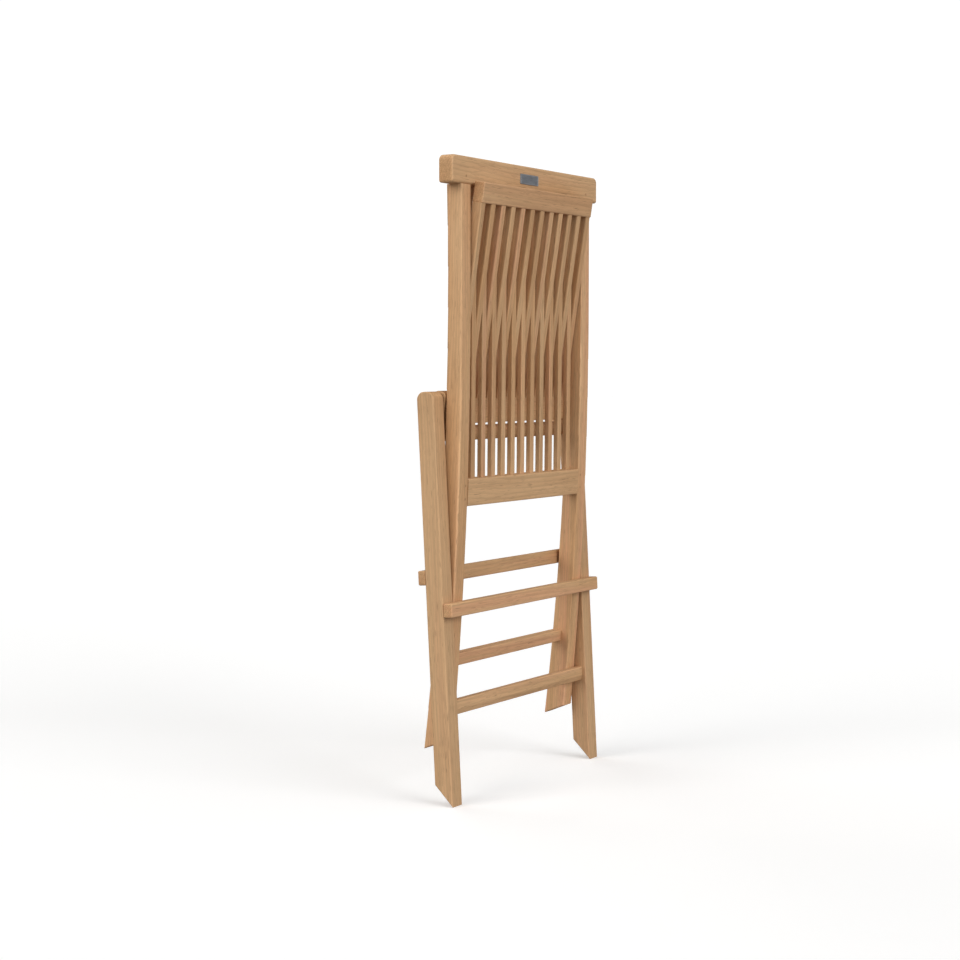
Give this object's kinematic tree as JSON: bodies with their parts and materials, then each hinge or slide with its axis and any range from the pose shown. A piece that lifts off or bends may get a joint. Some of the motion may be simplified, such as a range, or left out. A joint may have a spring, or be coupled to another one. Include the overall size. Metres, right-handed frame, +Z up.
{
  "type": "folding chair",
  "caption": "Slatted wooden folding garden chair, folded flat and upright; back frame, leg frame and seat turn on hidden pins and open with level feet.",
  "frame": {"origin": "centre of the folded chair's footprint, on the floor under the rear feet", "axes": "+Z up, -Y the way the chair faces, +X to the sitter's left"},
  "size_m": [0.48, 0.101, 1.055],
  "materials": {
    "frame_teak": "oiled, satin, small rounded edges",
    "slat_teak": "oiled, satin",
    "peg_wood": "end grain",
    "pin_steel": "plain turned",
    "plate": "matt, blank"
  },
  "bodies": {
    "pivot_hardware": {"leg_pivot_pins": "pin_steel", "leg_pivot_washers": "pin_steel"},
    "back_frame": {"left_back_stile": "frame_teak", "right_back_stile": "frame_teak", "head_rail": "frame_teak", "head_rail_pegs": "peg_wood", "back_lower_rail": "frame_teak", "lower_rail_pegs": "peg_wood", "front_leg_stretcher": "frame_teak", "front_stretcher_pegs": "peg_wood", "back_slat_01": "slat_teak", "back_slat_02": "slat_teak", "back_slat_03": "slat_teak", "back_slat_04": "slat_teak", "back_slat_05": "slat_teak", "back_slat_06": "slat_teak", "back_slat_07": "slat_teak", "back_slat_08": "slat_teak", "back_slat_09": "slat_teak", "back_slat_10": "slat_teak", "back_slat_11": "slat_teak", "name_plate": "plate", "name_plate_pins": "pin_steel"},
    "leg_frame": {"left_rear_leg": "frame_teak", "right_rear_leg": "frame_teak", "rear_leg_stretcher": "frame_teak", "rear_stop_bar": "frame_teak", "front_stop_bar": "frame_teak", "stop_bar_dowels": "peg_wood", "seat_pivot_pins": "pin_steel", "seat_pivot_washers": "pin_steel"},
    "seat": {"seat_rear_rail": "frame_teak", "seat_front_rail": "frame_teak", "seat_nosing": "frame_teak", "left_seat_cheek": "frame_teak", "right_seat_cheek": "frame_teak", "seat_slat_01": "slat_teak", "seat_slat_02": "slat_teak", "seat_slat_03": "slat_teak", "seat_slat_04": "slat_teak", "seat_slat_05": "slat_teak", "seat_slat_06": "slat_teak", "seat_slat_07": "slat_teak", "seat_slat_08": "slat_teak", "seat_slat_09": "slat_teak", "seat_slat_10": "slat_teak", "seat_slat_11": "slat_teak", "seat_slat_12": "slat_teak"}
  },
  "joints": [
    {"name": "back_fold", "type": "hinge", "parent": "pivot_hardware", "child": "back_frame", "pos_m": [0, -0.00756, 0.34597], "axis": [1, 0, 0], "range_deg": [-22.5, 0]},
    {"name": "leg_fold", "type": "hinge", "parent": "pivot_hardware", "child": "leg_frame", "pos_m": [0, -0.00756, 0.34597], "axis": [1, 0, 0], "range_deg": [0, 43.6]},
    {"name": "seat_fold", "type": "hinge", "parent": "leg_frame", "child": "seat", "pos_m": [0, -0.02223, 0.65423], "axis": [1, 0, 0], "range_deg": [-129.9, 0]}
  ],
  "couplings": [
    {"joint": "leg_fold", "follows": "back_fold", "ratio": -1.9333},
    {"joint": "seat_fold", "follows": "back_fold", "ratio": 5.7711}
  ]
}
